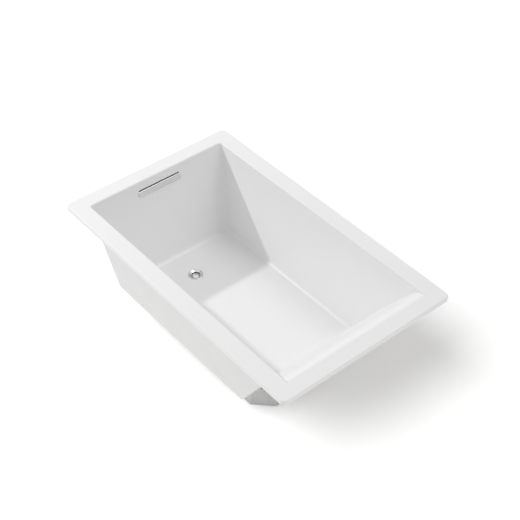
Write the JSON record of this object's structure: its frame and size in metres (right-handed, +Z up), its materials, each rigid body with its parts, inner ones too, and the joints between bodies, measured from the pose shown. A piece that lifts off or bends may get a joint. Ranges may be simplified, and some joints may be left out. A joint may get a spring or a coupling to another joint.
{
  "type": "drop-in bathtub",
  "caption": "Rectangular white drop-in bathtub with a flat deck, slotted overflow on the end wall, sloping backrest, push-down drain stopper, waste pipes and levelling feet under it.",
  "frame": {"origin": "on the ground, below the middle of the rim", "axes": "+X along the bath from the drain end to the backrest end, +Y across it, +Z up"},
  "size_m": [1.524, 0.9144, 0.559],
  "materials": {
    "acrylic": "smooth gloss white acrylic",
    "batten_timber": "planed softwood",
    "board": "pressed particle board",
    "sealed_block": "timber sealed in pale grey resin",
    "zinc_steel": "bright zinc plate",
    "pad_plastic": "moulded black polyamide",
    "chrome": "polished chrome plate",
    "rubber": "soft black rubber",
    "brass": "turned brass",
    "waste_plastic": "moulded white waste fitting",
    "nut_plastic": "moulded ribbed nut"
  },
  "bodies": {
    "root": {"bath_shell": "acrylic", "rim_batten_left": "batten_timber", "rim_batten_right": "batten_timber", "rim_batten_drain_end": "batten_timber", "rim_batten_backrest_end": "batten_timber", "base_board": "board", "foot_block_backrest_left": "sealed_block", "foot_block_backrest_right": "sealed_block", "foot_block_drain_left": "sealed_block", "foot_block_drain_right": "sealed_block", "foot_inserts": "zinc_steel", "foot_lock_nuts": "zinc_steel", "block_screws": "zinc_steel", "overflow_studs": "zinc_steel", "overflow_nuts": "zinc_steel", "stopper_spring": "zinc_steel", "drain_flange": "chrome", "overflow_trim": "chrome", "drain_washer": "rubber", "overflow_gasket": "rubber", "slip_washers": "rubber", "stopper_cartridge": "brass", "drain_shoe": "waste_plastic", "waste_tee": "waste_plastic", "drain_pipe": "waste_plastic", "overflow_pipe": "waste_plastic", "overflow_housing": "waste_plastic", "slip_nuts": "nut_plastic"},
    "stopper": {"stopper_cap": "chrome", "stopper_gasket": "rubber", "stopper_plunger": "brass"},
    "foot_backrest_left": {"foot_pad_backrest_left": "pad_plastic", "foot_stud_backrest_left": "zinc_steel"},
    "foot_backrest_right": {"foot_pad_backrest_right": "pad_plastic", "foot_stud_backrest_right": "zinc_steel"},
    "foot_drain_left": {"foot_pad_drain_left": "pad_plastic", "foot_stud_drain_left": "zinc_steel"},
    "foot_drain_right": {"foot_pad_drain_right": "pad_plastic", "foot_stud_drain_right": "zinc_steel"}
  },
  "joints": [
    {"name": "stopper_push", "type": "slide", "parent": "root", "child": "stopper", "axis": [0, 0, 1], "range_m": [-0.0084, 0], "stiffness_N_per_m": 200, "springref_m": 0.02, "deforming": ["stopper_spring"]},
    {"name": "level_backrest_left", "type": "slide", "parent": "root", "child": "foot_backrest_left", "axis": [0, 0, 1], "range_m": [-0.02, 0]},
    {"name": "level_backrest_right", "type": "slide", "parent": "root", "child": "foot_backrest_right", "axis": [0, 0, 1], "range_m": [-0.02, 0]},
    {"name": "level_drain_left", "type": "slide", "parent": "root", "child": "foot_drain_left", "axis": [0, 0, 1], "range_m": [-0.02, 0]},
    {"name": "level_drain_right", "type": "slide", "parent": "root", "child": "foot_drain_right", "axis": [0, 0, 1], "range_m": [-0.02, 0]}
  ]
}
